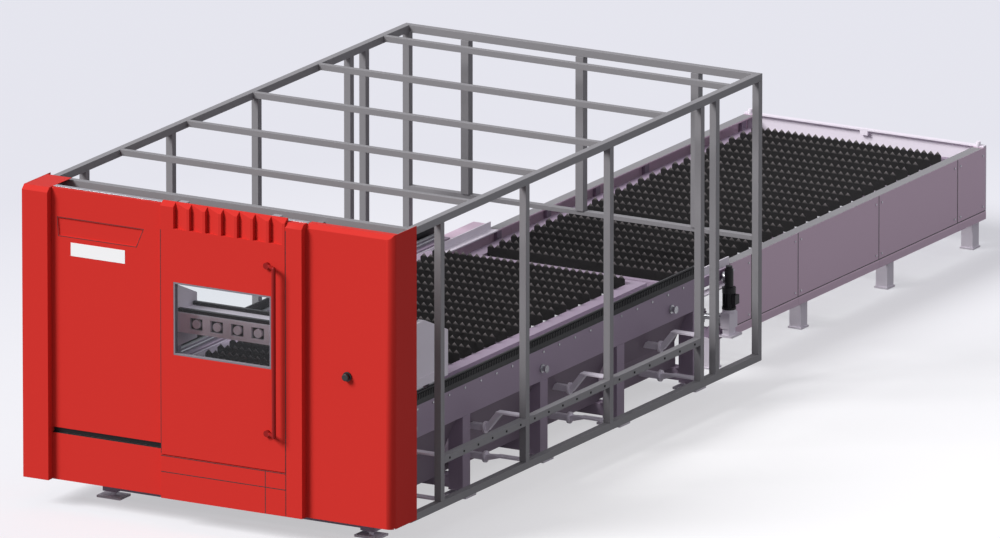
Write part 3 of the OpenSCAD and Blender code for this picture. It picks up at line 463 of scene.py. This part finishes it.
# Dark strips on the joints of the front panels and at the door's left edge: painted shade standing in for
# the shadow in the seams
SEAM_SHADE_WIDTH = 0.005
EDGE_SEAM_SHADE_WIDTH = 0.004
SHADE_PROUD = 0.0008
LOW_SHADE_PROUD = 0.0006
SHADE_INSET = 0.0009
sill_span = (sill_lo.x + SHADE_INSET, sill_hi.x - SHADE_INSET)
sill_split = sill_lo.z + 0.179
sill_top = sill_hi.z - 0.001
sill_post = sill_hi.x - 0.1553
pillar_edge = pillar_lo.x + SHADE_INSET
door_edge = door_lo.x + SHADE_INSET
front_depth = (sill_lo.y - SHADE_PROUD, sill_lo.y)
shade_foot = sill_lo.z + 0.002
box_piece("front_seam_shade", [
    (sill_span, front_depth, (sill_split, sill_split + SEAM_SHADE_WIDTH)),
    (sill_span, front_depth, (sill_top - SEAM_SHADE_WIDTH, sill_top)),
    (
        (sill_post, sill_post + SEAM_SHADE_WIDTH),
        (sill_lo.y - LOW_SHADE_PROUD, sill_lo.y),
        (shade_foot, sill_top - SEAM_SHADE_WIDTH),
    ),
    ((pillar_edge, pillar_edge + EDGE_SEAM_SHADE_WIDTH), front_depth, (shade_foot, pillar_hi.z - 0.05)),
], "black_plastic", "machine")
box_piece("door_seam_shade", [(
    (door_edge, door_edge + EDGE_SEAM_SHADE_WIDTH),
    (door_lo.y - SHADE_PROUD, door_lo.y),
    (door_lo.z + 0.005, door_hi.z - 0.19),
)], "black_plastic", "door")


# Dark strips on the seams of the table's side panels, the upright seams and the long one below them: painted
# shade standing in for the shadow in the seams
TABLE_SHADE_THICK = 0.001
HALF_SEAM = 0.004
LONG_SEAM_HEIGHT = 0.006
long_seam_low = table_lo.z + 0.056
long_seam_top = long_seam_low + LONG_SEAM_HEIGHT
long_seam_end = table_lo.y + 3.578
table_seam_shades = []
for side, _ in SIDES:
    depth = sorted((side * table_face, side * (table_face + TABLE_SHADE_THICK)))
    for seam in table_seams:
        upright = (long_seam_top, table_hi.z - TABLE_INSET)
        table_seam_shades.append((depth, (seam - HALF_SEAM, seam + HALF_SEAM), upright))
    long_seam = (table_lo.y + TABLE_INSET, long_seam_end)
    table_seam_shades.append((depth, long_seam, (long_seam_low, long_seam_top)))
box_piece("table_seam_shades", table_seam_shades, "black_plastic", "machine")


# Dark ring round the shallow recess of the left panel: painted shade along the recess edges
RECESS_SEAM_SHADE_WIDTH = 0.004
RECESS_SHADE_PROUD = 0.0006


def grown(corners, width):
    """The corners of a shape, given clockwise, moved out so that each edge lies a width further out."""
    moved = []
    for before, corner, after in zip(corners[-1:] + corners[:-1], corners, corners[1:] + corners[:1]):
        first = (corner - before).orthogonal().normalized()
        second = (after - corner).orthogonal().normalized()
        moved.append(corner + (first + second) * width / (1 + first.dot(second)))
    return moved


recess_top = panel_hi.z - 0.199
recess_low = panel_hi.z - 0.323
recess = [
    Vector((panel_lo.x + 0.045, recess_top)),
    Vector((panel_hi.x - 0.16, recess_top)),
    Vector((panel_hi.x - 0.213, recess_low)),
    Vector((panel_lo.x + 0.054, recess_low)),
]
recess_rings = [(recess, grown(recess, RECESS_SEAM_SHADE_WIDTH))]
recess_front = panel_lo.y - RECESS_SHADE_PROUD
ring_piece("recess_edge_shade", recess_rings, recess_front, panel_lo.y, "black_plastic", "machine")


# Pale floor with a painted pool of light, brightest in front of the right side and fading to the backdrop's
# grey, with a weak bounce
FLOOR_HALF = 400
FLOOR_BRIGHT_POINT = (3.05, -1.82, 0)
FLOOR_FADE_FROM = 1.5
FLOOR_FADE_TO = 9.5
FLOOR_LIT_SHARE = 0.45


def floor_paint():
    paint, tree = new_material("pale floor")
    coords = add_node(tree, "TexCoord", {})
    away = add_node(tree, "VectorMath", {0: coords.outputs["Object"], 1: FLOOR_BRIGHT_POINT}, "DISTANCE")
    fade = add_node(tree, "MapRange", {
        "Value": away.outputs["Value"],
        "From Min": FLOOR_FADE_FROM,
        "From Max": FLOOR_FADE_TO,
    })
    shade = add_node(tree, "MixRGB", {
        "Fac": fade.outputs["Result"],
        "Color1": linear((254, 253, 255)),
        "Color2": linear((225, 225, 233)),
    }).outputs["Color"]
    glow = add_node(tree, "Emission", {"Color": shade})
    lit = add_node(tree, "BsdfDiffuse", {"Color": shade})
    seen = add_node(tree, "MixShader", {
        "Fac": FLOOR_LIT_SHARE,
        1: glow.outputs["Emission"],
        2: lit.outputs["BSDF"],
    })
    bounce = add_node(tree, "BsdfDiffuse", {"Color": (0.2, 0.2, 0.21, 1)})
    show(tree, add_node(tree, "MixShader", {
        "Fac": seen_directly(tree),
        1: bounce.outputs["BSDF"],
        2: seen.outputs["Shader"],
    }))
    return paint


floor_mesh = bpy.data.meshes.new("floor")
floor_corners = [(x * FLOOR_HALF, y * FLOOR_HALF, 0) for x, y in ((-1, -1), (1, -1), (1, 1), (-1, 1))]
floor_mesh.from_pydata(floor_corners, [], [(0, 1, 2, 3)])
floor_mesh.materials.append(floor_paint())
floor = bpy.data.objects.new("floor", floor_mesh)
scene.collection.objects.link(floor)


# Studio light: an even dome, seen as a plain backdrop, and one soft key light
DOME_STRENGTH = 0.44
KEY_STRENGTH = 3.4
KEY_SOFTNESS = math.radians(25)
KEY_DIRECTION = Vector((0.46, 0.62, -0.62))

world = bpy.data.worlds.new("studio")
scene.world = world
world.use_nodes = True
sky = world.node_tree
dome = sky.nodes["Background"]
set_inputs(sky, dome, {"Color": (0.95, 0.96, 1.0, 1), "Strength": DOME_STRENGTH})
backdrop = add_node(sky, "Background", {"Color": linear((232, 232, 240))})
dome_or_backdrop = add_node(sky, "MixShader", {
    "Fac": seen_directly(sky),
    1: dome.outputs["Background"],
    2: backdrop.outputs["Background"],
})
sky.links.new(dome_or_backdrop.outputs["Shader"], sky.nodes["World Output"].inputs["Surface"])

sun = bpy.data.lights.new("key", "SUN")
sun.energy = KEY_STRENGTH
sun.angle = KEY_SOFTNESS
key = bpy.data.objects.new("key", sun)
key.rotation_mode = "QUATERNION"
key.rotation_quaternion = KEY_DIRECTION.to_track_quat("-Z", "Y")
scene.collection.objects.link(key)


# Camera at the photo's angle, far away because the photo is nearly without perspective
TURN = math.radians(29.78)
DROP = math.radians(14.93)
DISTANCE = 168.0
PIXELS_PER_METRE = 149.14
PHOTO_WIDTH = 1000
SENSOR_WIDTH = 36.0
LOOK_AT = Vector((-0.00511, -0.53752, 0.89217))

look = Vector((-math.sin(TURN) * math.cos(DROP), math.cos(TURN) * math.cos(DROP), -math.sin(DROP)))
lens = bpy.data.cameras.new("camera")
lens.sensor_width = SENSOR_WIDTH
lens.lens = SENSOR_WIDTH * DISTANCE * PIXELS_PER_METRE / PHOTO_WIDTH
lens.clip_start = 1.0
lens.clip_end = 1000.0
camera = bpy.data.objects.new("camera", lens)
camera.location = LOOK_AT - look * DISTANCE
camera.rotation_mode = "QUATERNION"
camera.rotation_quaternion = look.to_track_quat("-Z", "Y")
scene.collection.objects.link(camera)
scene.camera = camera
